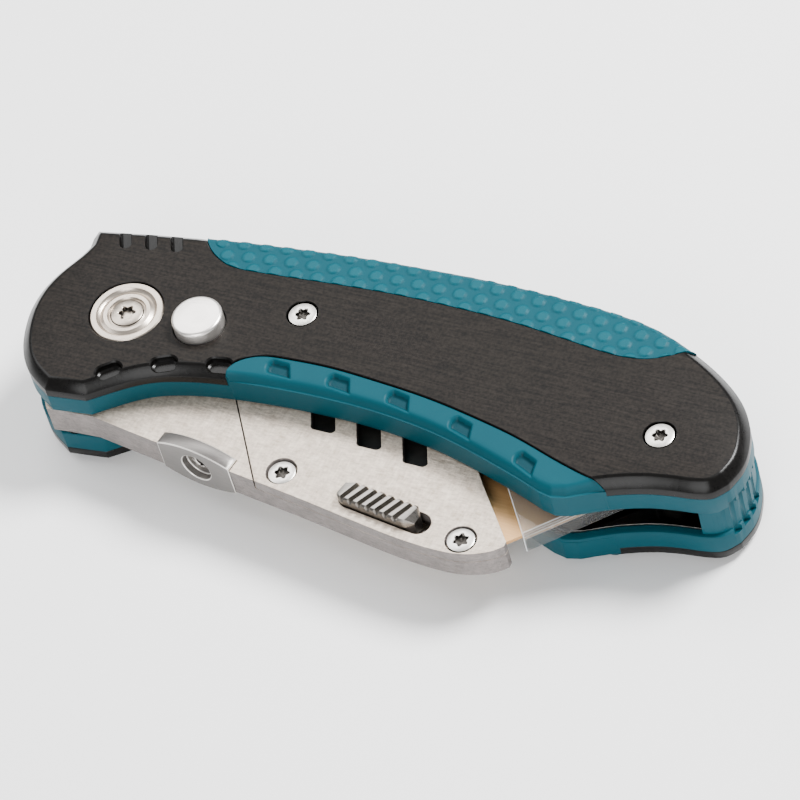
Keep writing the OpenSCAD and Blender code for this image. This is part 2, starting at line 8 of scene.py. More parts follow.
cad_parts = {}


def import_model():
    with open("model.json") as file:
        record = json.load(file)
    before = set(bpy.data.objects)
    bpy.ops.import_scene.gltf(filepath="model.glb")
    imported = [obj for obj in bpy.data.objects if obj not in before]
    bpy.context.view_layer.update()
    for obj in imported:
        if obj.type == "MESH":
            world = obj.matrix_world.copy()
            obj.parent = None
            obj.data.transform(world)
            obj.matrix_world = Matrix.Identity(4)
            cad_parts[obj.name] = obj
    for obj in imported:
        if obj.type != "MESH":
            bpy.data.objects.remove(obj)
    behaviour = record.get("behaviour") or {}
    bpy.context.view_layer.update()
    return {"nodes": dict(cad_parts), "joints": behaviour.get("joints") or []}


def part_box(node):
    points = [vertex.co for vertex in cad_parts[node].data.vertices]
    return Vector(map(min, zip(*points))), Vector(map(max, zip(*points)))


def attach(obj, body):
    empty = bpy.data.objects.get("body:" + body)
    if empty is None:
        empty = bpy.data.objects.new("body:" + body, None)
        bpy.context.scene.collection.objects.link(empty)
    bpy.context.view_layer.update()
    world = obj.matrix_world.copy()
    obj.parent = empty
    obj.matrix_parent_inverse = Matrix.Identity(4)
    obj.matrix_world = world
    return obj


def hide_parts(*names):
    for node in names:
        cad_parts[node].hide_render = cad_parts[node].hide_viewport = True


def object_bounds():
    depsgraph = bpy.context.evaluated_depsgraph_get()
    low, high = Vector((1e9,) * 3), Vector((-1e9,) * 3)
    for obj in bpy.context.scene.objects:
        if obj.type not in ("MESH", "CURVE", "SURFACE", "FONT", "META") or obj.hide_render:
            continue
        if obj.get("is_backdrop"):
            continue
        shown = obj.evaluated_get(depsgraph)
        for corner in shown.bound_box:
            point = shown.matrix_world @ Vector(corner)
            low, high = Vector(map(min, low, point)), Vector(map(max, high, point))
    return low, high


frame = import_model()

# Shapes are in millimetres round the pivot axis, z up from the rear face. place() takes them to the frame.
MM = 0.001


def middle(node):
    low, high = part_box(node)
    return (low + high) / 2


PIVOT = middle("pivot_barrel")
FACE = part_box("front_scale")[1].z / MM
SCALE_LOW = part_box("front_scale")[0].z / MM
GRIP_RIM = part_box("front_grip")[0].z / MM
CENTRE = FACE / 2


def place(x, y, z):
    return Vector((PIVOT.x + x * MM, PIVOT.y + y * MM, z * MM))


def from_pivot(point):
    return Vector(((point.x - PIVOT.x) / MM, (point.y - PIVOT.y) / MM, point.z / MM))


BUTTON = from_pivot(middle("lock_plunger"))
BUTTON_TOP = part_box("lock_plunger")[1].z / MM
HOLDER_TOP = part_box("holder_cover")[1].z / MM
SLIDE = next(j for j in frame["joints"] if j["name"] == "blade_release_slide")["axis"]
TILT = math.atan2(SLIDE[1], SLIDE[0])
LINER_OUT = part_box("front_liner")[1].z / MM
CAP_R = 6.0
CAP_GAP = 0.12
BUTTON_HOLE_R = 4.3
SCREW_HOLE_R = 2.55
POST_HOLE_R = 2.05
BARREL_HOLE_R = 3.1
REAR_LOCK_HOLE_R = 3.2
LINER_INSET = 1.3
LINER_TAB = (-4.6, -14.9)
LINER_TAB_R = 1.8
BUTT_RIB_R = 0.8
SCALE_SCREWS = [(27.9, 7.1), (91.5, 0.0)]
COVER_SCREWS = [(34.5, -17.8), (67.0, -22.1)]


# ---------------------------------------------------------------- shader sums

class Value:
    """A shader socket that can be added, multiplied and compared."""

    def __init__(self, finish, socket):
        self.finish = finish
        self.socket = socket

    def sum(self, operation, *values):
        return self.finish.node("ShaderNodeMath", {"operation": operation}, *values)

    def __add__(self, other):
        return self.sum("ADD", self, other)

    def __sub__(self, other):
        return self.sum("SUBTRACT", self, other)

    def __mul__(self, other):
        return self.sum("MULTIPLY", self, other)

    def __rsub__(self, other):
        return self.sum("SUBTRACT", other, self)

    def __gt__(self, other):
        return self.sum("GREATER_THAN", self, other)

    __radd__ = __add__
    __rmul__ = __mul__


class Finish:
    """One material: its shader, and the nodes that feed it."""

    def __init__(self, name, color, roughness, metallic=0.0, **constants):
        self.material = bpy.data.materials.new(name)
        self.material.use_nodes = True
        self.tree = self.material.node_tree
        self.shader = self.tree.nodes["Principled BSDF"]
        self.shader.inputs["Base Color"].default_value = (*color, 1)
        self.shader.inputs["Roughness"].default_value = roughness
        self.shader.inputs["Metallic"].default_value = metallic
        for socket, value in constants.items():
            self.shader.inputs[socket.replace("_", " ")].default_value = value

    def node(self, kind, settings=None, *values, output=0, **named):
        made = self.tree.nodes.new(kind)
        for key, value in (settings or {}).items():
            setattr(made, key, value)
        for socket, value in [*enumerate(values), *((k.replace("_", " "), v) for k, v in named.items())]:
            if isinstance(value, Value):
                self.tree.links.new(value.socket, made.inputs[socket])
            else:
                made.inputs[socket].default_value = value
        return Value(self, made.outputs[output])

    def feed(self, socket, value):
        self.tree.links.new(value.socket, self.shader.inputs[socket])

    def where(self, stretch=(1, 1, 1), turn=0.0):
        """The place on the piece, turned about Z and stretched."""
        place_on = self.node("ShaderNodeTexCoord", output=3)
        return self.node("ShaderNodeMapping", {}, place_on, Scale=stretch, Rotation=(0, 0, turn))

    def noise(self, at, scale, detail=3.0, rough=0.5):
        return self.node("ShaderNodeTexNoise", {}, Vector=at, Scale=scale, Detail=detail, Roughness=rough)

    def between(self, factor, first, second):
        mixed = self.node("ShaderNodeMix", {"data_type": "RGBA"}, output=2)
        made = mixed.socket.node
        self.tree.links.new(factor.socket, made.inputs[0])
        for index, color in ((6, first), (7, second)):
            if isinstance(color, Value):
                self.tree.links.new(color.socket, made.inputs[index])
            else:
                made.inputs[index].default_value = (*color, 1)
        return mixed

    def level(self, least):
        """1 where the surface lies level to at least this cosine, and 0 elsewhere."""
        up = self.node("ShaderNodeNewGeometry", {}, output=1)
        tilt = self.node("ShaderNodeSeparateXYZ", {}, up, output=2)
        return self.node("ShaderNodeMath", {"operation": "ABSOLUTE"}, tilt) > least

    def bump(self, height, distance, strength=1.0):
        bumped = self.node("ShaderNodeBump", {}, Height=height, Distance=distance, Strength=strength)
        self.feed("Normal", bumped)


# ---------------------------------------------------------------- finishes

def brushed(name, color, shade, roughness, turn=0.0, along=40, across=4000, metallic=1.0):
    """Metal with a long grain along one direction, lighter and darker by the stroke."""
    made = Finish(name, color, roughness, metallic)
    grain = made.noise(made.where((along, across, across), turn), 1.0, 4.0, 0.6)
    cloud = made.noise(made.where(), 90.0, 2.0)
    made.feed("Base Color", made.between(grain * 0.7 + cloud * 0.3, shade, color))
    made.feed("Roughness", roughness - 0.08 + grain * 0.16)
    made.bump(grain, 0.00001, 0.6)
    return made.material


def anodised():
    """Near-black anodising over a fine lengthwise grain."""
    made = Finish("black_anodised_scale", (0.012, 0.010, 0.009), 0.42, 0.0, Specular_IOR_Level=0.13)
    grain = made.noise(made.where((140, 2600, 2600)), 1.0, 5.0, 0.65)
    fleck = made.noise(made.where(), 2200.0, 2.0)
    streak = (grain * 0.55 + fleck * 0.45 - 0.36) * 3.2
    made.feed("Base Color", made.between(streak, (0.0020, 0.0016, 0.0013), (0.017, 0.0135, 0.0110)))
    made.feed("Roughness", 0.47 + grain * 0.08)
    made.bump(grain * 0.5 + fleck * 0.5, 0.00003, 0.7)
    return made.material


def anodised_edge():
    """The same anodising on the chamfers, grooves and scoops, cut smooth and glossier, and coloured darker
    than the face as painted shade, so the groove and scoop floors read dark.
    """
    made = Finish("black_scale_edge_painted_shade", (0.002, 0.002, 0.002), 0.27, 0.0, Specular_IOR_Level=0.17)
    fleck = made.noise(made.where(), 1800.0, 3.0)
    made.feed("Base Color", made.between(fleck, (0.0008, 0.0008, 0.0008), (0.005, 0.0045, 0.004)))
    made.feed("Roughness", 0.24 + fleck * 0.1)
    made.bump(fleck, 0.00002, 0.5)
    return made.material


def moulded_teal(name, color, light, roughness):
    """Soft teal moulding with a very fine eggshell."""
    made = Finish(name, color, roughness, 0.0, Specular_IOR_Level=0.12)
    cloud = made.noise(made.where(), 120.0, 3.0)
    pebble = made.noise(made.where(), 5200.0, 2.0)
    made.feed("Base Color", made.between(cloud * 0.6 + pebble * 0.4, color, light))
    made.feed("Roughness", roughness - 0.06 + pebble * 0.12)
    made.bump(pebble, 0.00002, 0.5)
    return made.material


def liner_steel():
    """Polished black steel, bright where its thin edge was cut."""
    made = Finish("black_liner_steel", (0.02, 0.02, 0.021), 0.16, 1.0)
    grain = made.noise(made.where((60, 3000, 3000)), 1.0, 4.0, 0.6)
    flat = made.level(0.9)
    face = made.between(grain, (0.012, 0.012, 0.013), (0.045, 0.044, 0.043))
    made.feed("Base Color", made.between(flat, (0.78, 0.78, 0.77), face))
    made.feed("Roughness", 0.30 - flat * 0.14 + grain * 0.06)
    made.bump(grain, 0.000008, 0.5)
    return made.material


def black_plate():
    """The thin near-black plate under the windows, which keeps them dark."""
    made = Finish("near_black_window_plate", (0.018, 0.018, 0.017), 0.38, 0.6)
    grain = made.noise(made.where((500, 500, 3000)), 1.0, 3.0)
    made.feed("Base Color", made.between(grain, (0.010, 0.010, 0.010), (0.034, 0.033, 0.030)))
    made.feed("Roughness", 0.30 + grain * 0.16)
    return made.material


TURNING_RINGS = 5200.0


def turned(name, color, shade, centre, roughness):
    """Lathe-turned metal: fine rings round an axis."""
    made = Finish(name, color, roughness, 0.92)
    place_on = made.node("ShaderNodeTexCoord", output=3)
    centred = made.node("ShaderNodeVectorMath", {"operation": "SUBTRACT"}, place_on, (*centre[:2], 0.0))
    flat = made.node("ShaderNodeVectorMath", {"operation": "MULTIPLY"}, centred, (1, 1, 0))
    reach = made.node("ShaderNodeVectorMath", {"operation": "LENGTH"}, flat, output=1)
    ring = made.node("ShaderNodeTexNoise", {"noise_dimensions": "1D"}, W=reach * TURNING_RINGS, Detail=3.0)
    cloud = made.noise(made.where(), 260.0)
    made.feed("Base Color", made.between(ring * 0.6 + cloud * 0.4, shade, color))
    made.feed("Roughness", roughness - 0.06 + ring * 0.14)
    made.bump(ring, 0.000012, 0.6)
    return made.material


def satin_holder():
    """The holder's warm pale satin steel: short cross-hatched strokes with a soft mottle, and painted shade
    on its upright sides, which are coloured far darker than its level faces.
    """
    made = Finish("satin_holder_steel", (0.66, 0.62, 0.56), 0.42, 0.55)
    stroke = made.noise(made.where((700, 2600, 2600), 0.9), 1.0, 4.0, 0.6)
    cross = made.noise(made.where((2400, 600, 2400), 0.3), 1.0, 4.0, 0.6)
    mottle = made.noise(made.where(), 420.0, 4.0, 0.6)
    grain = (stroke * 0.4 + cross * 0.3 + mottle * 0.3 - 0.38) * 3.6
    # Painted shade: faces turned sideways take the dark side colour, level faces the pale one.
    flat = made.level(0.7)
    face = made.between(grain, (0.42, 0.345, 0.275), (0.80, 0.70, 0.59))
    side = made.between(grain, (0.13, 0.115, 0.108), (0.27, 0.24, 0.228))
    made.feed("Base Color", made.between(flat, side, face))
    made.feed("Roughness", 0.38 + grain * 0.14)
    made.bump(grain, 0.00007, 0.9)
    return made.material


def gold_blade():
    """The blade's gold-brown coating, clouded and finely grained."""
    made = Finish("gold_coated_blade", (0.75, 0.50, 0.28), 0.3, 0.6)
    grain = made.noise(made.where((300, 3200, 3200), -TILT), 1.0, 4.0)
    cloud = made.noise(made.where(), 150.0, 3.0)
    made.feed("Base Color", made.between(grain * 0.5 + cloud * 0.5, (0.40, 0.205, 0.07), (0.72, 0.44, 0.20)))
    made.feed("Roughness", 0.24 + grain * 0.14)
    made.bump(grain, 0.00001, 0.5)
    return made.material


def clear_guard():
    """Clear moulded plastic, very slightly clouded."""
    made = Finish("clear_moulded_guard", (0.95, 0.97, 0.975), 0.05, 0.0,
                  Transmission_Weight=0.92, IOR=1.33, Alpha=0.62)
    cloud = made.noise(made.where(), 240.0, 3.0)
    made.feed("Roughness", 0.02 + cloud * 0.06)
    made.bump(cloud, 0.00003, 0.4)
    return made.material


def guard_edge():
    """The guard's rounded edges, painted near-white and more opaque than the guard as a painted highlight."""
    made = Finish("guard_edge_painted_highlight", (0.93, 0.95, 0.955), 0.12, 0.0, Alpha=0.8)
    cloud = made.noise(made.where(), 900.0, 2.0)
    made.feed("Base Color", made.between(cloud, (0.70, 0.74, 0.75), (1.0, 1.0, 1.0)))
    return made.material


def bronze():
    """Bearing bronze."""
    made = Finish("bearing_bronze", (0.42, 0.27, 0.11), 0.4, 1.0)
    cloud = made.noise(made.where(), 900.0)
    made.feed("Base Color", made.between(cloud, (0.34, 0.21, 0.08), (0.55, 0.38, 0.17)))
    made.feed("Roughness", 0.3 + cloud * 0.2)
    return made.material


SCALE = anodised()
TEAL = moulded_teal("moulded_teal", (0.0010, 0.044, 0.061), (0.0018, 0.062, 0.083), 0.50)
# Painted highlight: a lighter copy of the teal for the up-facing tops of the dots.
TEAL_DOT_HIGHLIGHT = moulded_teal("moulded_teal_dots_painted_highlight", (0.0016, 0.056, 0.076), (0.0028, 0.078, 0.102), 0.46)
# Painted shade: a darker copy of the teal for the floors of the pad's scoops.
TEAL_SCOOP_SHADE = moulded_teal("moulded_teal_scoops_painted_shade", (0.0008, 0.026, 0.036), (0.0014, 0.038, 0.052), 0.55)
# Darker edge colour: painted shade on the chamfers, grooves and scoops.
SCALE_EDGE_SHADED = anodised_edge()
LINER = liner_steel()
BLACK_PLATE = black_plate()
BRIGHT = brushed("bright_screw_steel", (0.86, 0.83, 0.78), (0.68, 0.655, 0.615), 0.34,
                 across=2600, metallic=0.75)
DULL = brushed("dull_thumb_screw_steel", (0.30, 0.28, 0.26), (0.14, 0.13, 0.12), 0.4)
# Painted shade: a near-black steel for the screws' driver recesses and the sides of their heads.
STAR_RECESS_SHADE = brushed("screw_recess_painted_shade", (0.12, 0.11, 0.10), (0.03, 0.028, 0.026), 0.36)
HOLDER = satin_holder()
THUMB = brushed("thumb_plate_steel", (0.25, 0.235, 0.222), (0.12, 0.112, 0.106), 0.36, -TILT, 60, 3600,
                metallic=0.7)
SLIDER = brushed("dark_slider_steel", (0.34, 0.32, 0.295), (0.13, 0.12, 0.108), 0.3, -TILT, 200, 2600)
GOLD = gold_blade()
GUARD = clear_guard()
GUARD_EDGE_HIGHLIGHT = guard_edge()
BRONZE = bronze()
CAP = turned("turned_pivot_cap", (0.70, 0.61, 0.52), (0.25, 0.22, 0.185), PIVOT, 0.28)
BUTTON_STEEL = turned("turned_button_steel", (0.98, 0.94, 0.89), (0.80, 0.76, 0.71),
                      middle("lock_plunger"), 0.30)


# ---------------------------------------------------------------- meshes

def smooth(points, steps=8):
    """A curve through the points, without its last one."""
    points = [Vector(p) for p in points]
    out = []
    for i in range(len(points) - 1):
        a, d = points[i], points[i + 1]
        before, after = points[max(i - 1, 0)], points[min(i + 2, len(points) - 1)]
        b, c = a + (d - before) / 6, d - (after - a) / 6
        for k in range(steps):
            t = k / steps
            out.append(a * (1 - t) ** 3 + b * 3 * t * (1 - t) ** 2 + c * 3 * t * t * (1 - t) + d * t ** 3)
    return out


def even(points, count):
    """The open line as count points at even distances."""
    lengths = [0.0]
    for a, b in zip(points, points[1:]):
        lengths.append(lengths[-1] + (b - a).length)
    out, j = [], 0
    for i in range(count):
        want = lengths[-1] * i / (count - 1)
        while j < len(points) - 2 and lengths[j + 1] < want:
            j += 1
        t = (want - lengths[j]) / max(lengths[j + 1] - lengths[j], 1e-9)
        out.append(points[j].lerp(points[j + 1], min(max(t, 0), 1)))
    return out


def piece(name, body, slot, finish, verts, faces, rear=False, sharp=35, finishes=()):
    """A new piece from millimetre points; rear mirrors it to the knife's rear side."""
    mesh = bpy.data.meshes.new(name)
    mesh.from_pydata([place(x, y, 2 * CENTRE - z if rear else z) for x, y, z in verts], [], faces)
    for material in (finish, *finishes):
        mesh.materials.append(material)
    made = bpy.data.objects.new(name, mesh)
    bpy.context.scene.collection.objects.link(made)
    tidy(made, sharp)
    made["slot_wanted"] = slot
    made["body_wanted"] = body
    return made


def tidy(made, sharp):
    """Joins doubled points, turns the faces outwards and marks the sharp edges."""
    work = bmesh.new()
    work.from_mesh(made.data)
    bmesh.ops.remove_doubles(work, verts=work.verts, dist=0.002 * MM)
    bmesh.ops.dissolve_degenerate(work, edges=work.edges, dist=0.001 * MM)
    bmesh.ops.recalc_face_normals(work, faces=work.faces)
    work.to_mesh(made.data)
    work.free()
    made.data.polygons.foreach_set("use_smooth", [True] * len(made.data.polygons))
    made.data.set_sharp_from_angle(angle=math.radians(sharp))


def finish_off(made):
    """Sets a piece riding on its body, and drops the slot it was made with."""
    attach(made, made["body_wanted"])
    del made["slot_wanted"]
    del made["body_wanted"]
    return made


def cut(made, cutters, sharp=35):
    """Takes the cutters out of a piece and removes them."""
    for cutter in cutters:
        hollow = made.modifiers.new("cut", "BOOLEAN")
        hollow.operation = "DIFFERENCE"
        hollow.solver = "EXACT"
        hollow.object = cutter
    bpy.context.view_layer.update()
    evaluated = made.evaluated_get(bpy.context.evaluated_depsgraph_get())
    done = bpy.data.meshes.new_from_object(evaluated)
    made.modifiers.clear()
    made.data = done
    for cutter in cutters:
        bpy.data.objects.remove(cutter)
    tidy(made, sharp)


def loft(rings):
    """Joins rings of equal length into a skin, with its ends closed."""
    n = len(rings[0])
    verts = [tuple(p) for ring in rings for p in ring]
    faces = []
    for r in range(len(rings) - 1):
        for k in range(n):
            m = (k + 1) % n
            faces.append((r * n + k, r * n + m, (r + 1) * n + m, (r + 1) * n + k))
    faces.append(tuple(range(n)))
    faces.append(tuple(range((len(rings) - 1) * n, len(rings) * n)))
    return verts, faces


def inset(loop, d):
    """The closed clockwise loop moved inwards by d, mitred at its corners; a negative d moves it outwards."""
    n = len(loop)
    ways = [(loop[(i + 1) % n] - loop[i]).normalized() for i in range(n)]
    out, corners = [], []
    for i in range(n):
        a, b = ways[i - 1], ways[i]
        inward = Vector((a.y, -a.x)) + Vector((b.y, -b.x))
        inward.normalize()
        out.append(loop[i] + inward * d / max(inward.dot(Vector((a.y, -a.x))), 0.35))
        turn = math.atan2(a.y * b.x - a.x * b.y, a.dot(b))
        if turn * d > 0 and abs(turn) > math.radians(10):
            corners.append((i, abs(d) * math.tan(abs(turn) / 2)))
    fixed = list(out)
    for i, reach in corners:
        for step in (1, -1):
            walked, j = 0.0, i
            while True:
                k = (j + step) % n
                walked += (loop[k] - loop[j]).length
                if walked >= reach:
                    break
                fixed[k] = out[i]
                j = k
    return fixed


def flat_ring(loop, z):
    return [(p.x, p.y, z) for p in loop]


END_STEPS = 10


def stadium(centre, length, width, angle):
    """A clockwise slot outline with round ends."""
    half = (length - width) / 2
    turn = Matrix.Rotation(angle, 2)
    out = []
    for side, start in ((1, 90), (-1, 270)):
        for i in range(END_STEPS + 1):
            a = math.radians(start - 180 * i / END_STEPS)
            local = Vector((side * half + width / 2 * math.cos(a), width / 2 * math.sin(a)))
            out.append(Vector(centre) + turn @ local)
    return out


def round_loop(centre, r, count=48):
    turns = [-math.tau * i / count for i in range(count)]
    return [Vector((centre[0] + r * math.cos(a), centre[1] + r * math.sin(a))) for a in turns]


def prism(name, loop, low, high, flare=0.0, rear=False):
    """A cutter: the loop from low to high, opening out by flare over its last stretch below the face."""
    rings = [flat_ring(loop, low)]
    if flare:
        rings.append(flat_ring(loop, FACE - flare))
        rings.append(flat_ring(inset(loop, -flare - 0.05), FACE + 0.05))
        loop = inset(loop, -flare - 0.05)
    rings.append(flat_ring(loop, high))
    verts, faces = loft(rings)
    return piece(name, "handle", "scale_black", SCALE, verts, faces, rear)


LATHE_STEPS = 96


def lathe(name, body, slot, finish, centre, profile, rear=False):
    """A turned piece from (radius, height) pairs."""
    turns = [math.tau * i / LATHE_STEPS for i in range(LATHE_STEPS)]
    rings = []
    for r, z in profile:
        rings.append([(centre[0] + r * math.cos(a), centre[1] + r * math.sin(a), z) for a in turns])
    verts, faces = loft(rings)
    return finish_off(piece(name, body, slot, finish, verts, faces, rear, 30))


# ---------------------------------------------------------------- the handle's lines

RAMP = [(-13.1, 15.1), (-4, 16.8), (4.2, 18.1)]
BACK = [(5.4, 18.2), (15, 19.5), (30, 21.0), (44, 21.8), (55, 22.1), (66, 21.8), (76, 21.1), (83, 19.8),
        (90, 17.1), (96, 13.8), (100.5, 10.2), (103.4, 6.2), (104.9, 2), (105.2, -1.4), (104.4, -4.8)]
BUTT = [(104.4, -4.8), (102.6, -7.0), (100.0, -7.9), (96.0, -8.4), (92.0, -9.2), (87.0, -11.0), (81.4, -13.9)]
HEEL = [(79.4, -14.3)]
BELLY = [(77.2, -13.9), (71.8, -12.0), (62, -9.1), (54, -7.4), (44, -6.4), (33, -6.4), (22, -7.2),
         (13.4, -8.7), (7.2, -11.1), (0.3, -16.3)]
FRONT = [(-6.3, -17.1), (-11.0, -14.1), (-14.2, -9.8), (-16.1, -4.2), (-16.4, 0.6), (-15.5, 4.8),
         (-13.6, 9.3), (-12.9, 11.6)]
BACK_INLAY = [(5.0, 19), (6.8, 16.1), (9.6, 14.0), (13.2, 12.9), (20, 13.2), (30, 14.0), (40, 14.6),
              (50, 14.7), (60, 14.4), (70, 13.4), (76, 12.7), (81, 12.6), (85.5, 13.8), (91.5, 17.6)]
BELLY_INLAY = [(21.2, -8.2), (21.0, -5.8), (22.4, -3.7), (25.4, -2.2), (30, -1.7), (37, -1.5), (45, -2.0),
               (54, -2.9), (62, -4.3), (70, -6.1), (78, -8.6), (83, -10.0), (86.2, -10.7), (88.4, -11.6)]
BUTT_INNER = [(99.7, -7.4), (98.2, -3.4), (97.0, 1.6), (95.2, 6.2), (90.3, 12.4)]
BUTT_RIBS = [(104.45, -4.8), (105.05, -2.7), (105.2, -0.5), (105.0, 1.7)]


def outline():
    """The handle's outline, clockwise from the thumb ramp's front corner."""
    corners = [[Vector(p) for p in RAMP], smooth(BACK), smooth(BUTT), [Vector(HEEL[0])], smooth(BELLY),
               [Vector(BELLY[-1])], smooth(FRONT), [Vector(FRONT[-1]), Vector((-13.2, 13.4))]]
    return [p for part in corners for p in part]


OUTLINE = outline()


# ---------------------------------------------------------------- scales

def back_window():
    return smooth(BACK_INLAY) + [Vector(BACK_INLAY[-1]), Vector((91.5, 30)), Vector((5.0, 30))]


def belly_window():
    closing = (BELLY_INLAY[-1], (89.5, -12.4), (89.5, -22), (21.2, -22))
    return smooth(BELLY_INLAY) + [Vector(p) for p in closing]


def clockwise(loop):
    area = sum(a.x * b.y - b.x * a.y for a, b in zip(loop, loop[1:] + loop[:1]))
    return loop if area < 0 else loop[::-1]


GROOVES = [(-6.6, 12.8), (-2.3, 13.6), (2.0, 14.3)]
GROOVE_W = 2.0
GROOVE_TURN = math.radians(118)
SCOOPS = [(2.6, -11.6, 42), (10.6, -7.9, 26), (19.4, -5.8, 10)]


def ramp_groove(name, x, y, rear):
    """One U-shaped thumb groove: round at its inner end, and running out on the chamfer."""
    way = Vector((math.cos(GROOVE_TURN), math.sin(GROOVE_TURN)))
    loop = clockwise(stadium(Vector((x, y)) + way * 4.0, 8.0 + GROOVE_W, GROOVE_W, GROOVE_TURN))
    rings = [flat_ring(inset(loop, 0.35), FACE - 1.3), flat_ring(inset(loop, 0.08), FACE - 1.05),
             flat_ring(loop, FACE - 0.14), flat_ring(inset(loop, -0.2), FACE + 1)]
    verts, faces = loft(rings)
    return piece(name, "handle", "scale_black", SCALE, verts, faces, rear)


def edge_scoop(name, x, y, angle, rear):
    """One finger scoop let into the chamfer, with a rounded lip."""
    loop = clockwise(stadium((x, y), 4.3, 2.5, angle))
    steps = [(0.45, -1.25), (0.12, -1.05), (0, -0.8), (0, -0.24), (-0.28, 0.04), (-0.28, 1)]
    rings = [flat_ring(inset(loop, d) if d else loop, FACE + z) for d, z in steps]
    verts, faces = loft(rings)
    return piece(name, "handle", "scale_black", SCALE, verts, faces, rear)


def scale_plate(side, rear):
    node = side + "_scale"
    rings = [(SCALE_LOW, 0.06), (SCALE_LOW + 0.1, 0.0), (FACE - 1.7, 0.0), (FACE - 1.5, 0.06),
             (FACE - 0.28, 1.24), (FACE - 0.08, 1.5), (FACE, 1.8)]
    verts, faces = loft([flat_ring(inset(OUTLINE, d), z) for z, d in rings])
    made = piece(side + "_black_scale", "handle", "scale_black", SCALE, verts, faces, rear)
    cutters = []
    for window in (back_window(), belly_window()):
        cutters.append(prism("window", clockwise(window), SCALE_LOW - 1, FACE + 1, 0.12, rear))
    cutters += [ramp_groove("groove", x, y, rear) for x, y in GROOVES]
    cutters += [edge_scoop("scoop", x, y, math.radians(a), rear) for x, y, a in SCOOPS]
    holes = [((0, 0), CAP_R + CAP_GAP)] + [(s, SCREW_HOLE_R) for s in SCALE_SCREWS]
    if not rear:
        holes.append((BUTTON[:2], BUTTON_HOLE_R))
    cutters += [prism("hole", round_loop(c, r), SCALE_LOW - 1, FACE + 1, 0.08, rear) for c, r in holes]
    if rear:
        low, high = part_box("lock_seat")
        seat_r = (high.x - low.x) / MM / 2 + 0.1
        seat_loop = round_loop(BUTTON[:2], seat_r)
        cutters.append(prism("seat_pocket", seat_loop, SCALE_LOW - 1, FACE - low.z / MM, 0, rear))
    cut(made, cutters, 30)
    # Painted shade: every face off the top and bottom faces takes the darker edge colour, the groove and
    # scoop floors among them.
    made.data.materials.append(SCALE_EDGE_SHADED)
    for face in made.data.polygons:
        level = from_pivot(face.center).z
        if abs(level - CENTRE) < CENTRE - 0.01:
            face.material_index = 1
    finish_off(made)
    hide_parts(node)


# ---------------------------------------------------------------- grips

def nearest(line, point):
    return min(range(len(line)), key=lambda i: (line[i] - Vector(point)).length)


def stretch(line, first, last, count):
    """The part of a line between the points nearest to first and last."""
    return even(line[nearest(line, first):nearest(line, last) + 1], count)


MOULDING_WALL = FACE - 2.75


def moulding(name, inner, outer, height, rear, mark, other, flow):
    """A raised grip area from its inner line out to the side wall, in a second copy of the teal where mark()
    is high: lighter on the dots as painted highlight, darker in the scoops as painted shade.
    height(u, v) is the surface at u along it, and v from 0 at the inner line to 1 at the side wall."""
    columns = []
    foot = LINER_OUT + 0.12
    for i, (a, b) in enumerate(zip(inner, outer)):
        u = i / (len(inner) - 1)
        edge = height(u, 0.0, a)
        column = [(*a, SCALE_LOW - 0.2), (*a, edge - 0.14)]
        for k in range(flow + 1):
            v = k / flow
            p = a.lerp(b, v)
            if k == 0:
                p = a.lerp(b, min(0.12 / max((b - a).length, 0.13), 0.9))
            column.append((*p, height(u, v, p)))
        tucked = b.lerp(a, min(0.9, 0.4 / max((b - a).length, 0.1)))
        column += [(*b, MOULDING_WALL), (*b, foot), (*tucked, foot - 0.1), (*a, foot - 0.1)]
        columns.append(column)
    verts, faces = loft(columns)
    made = piece(name, "handle", "grip_teal", TEAL, verts, faces, rear, 50, (other,))
    # Painted light: marked faces that face up take the second teal, painted highlight on the dots, painted
    # shade in the scoops.
    for face in made.data.polygons:
        at = from_pivot(face.center)
        if mark(at.x, at.y) > 0.6 and abs(face.normal.z) > 0.3:
            face.material_index = 1
    return finish_off(made)


DOT_PITCH = 3.62
DOT_R = 1.12
DOT_RISE = 0.22


def dot_rise(x, y):
    """How much of a dot's full height stands at (x, y)."""
    best = 0.0
    for row, lift in ((-1, -2.35), (0, 0.0), (1, 2.5), (2, 5.0)):
        shift = DOT_PITCH / 2 if row % 2 else 0.0
        i = round((x - 10.62 - shift) / DOT_PITCH)
        cx = 10.62 + shift + i * DOT_PITCH
        cy = 17.6 - 0.0021 * (cx - 45) ** 2 + lift
        away = math.hypot(x - cx, y - cy)
        best = max(best, min(max((DOT_R - away) / 0.22, 0.0), 1.0))
    return best


def back_pad(side, rear):
    columns = 300
    line = smooth(BACK_INLAY, 12)
    gap = [p + Vector((0, 0.12)) for p in line]
    inner = stretch(gap, (5.35, 18.3), (90.6, 16.9), columns)
    outer = stretch(smooth([RAMP[-1], *BACK], 24), (5.35, 18.2), (90.2, 17.0), columns)
    fall = 1.7

    def height(u, v, p):
        at = min(round(u * (columns - 1)), columns - 1)
        width = (outer[at] - inner[at]).length
        from_edge = (1 - v) * width
        drop = 0.0 if from_edge > fall else fall - math.sqrt(max(fall * fall - (fall - from_edge) ** 2, 0.0))
        crown = 0.06 * (1 - v)
        return FACE - 0.30 + crown - drop + DOT_RISE * dot_rise(p.x, p.y) * (1.0 if from_edge > 0.5 else 0.3)

    # The dots' tops take the lighter teal as painted highlight.
    return moulding(side + "_dimpled_back_pad", inner, outer, height, rear, dot_rise, TEAL_DOT_HIGHLIGHT, 44)


POCKETS = [((28.7, -3.7), -2), ((39.1, -3.7), -6), ((49.6, -4.3), -10), ((61.2, -6.4), -17),
           ((73.5, -10.0), -24)]


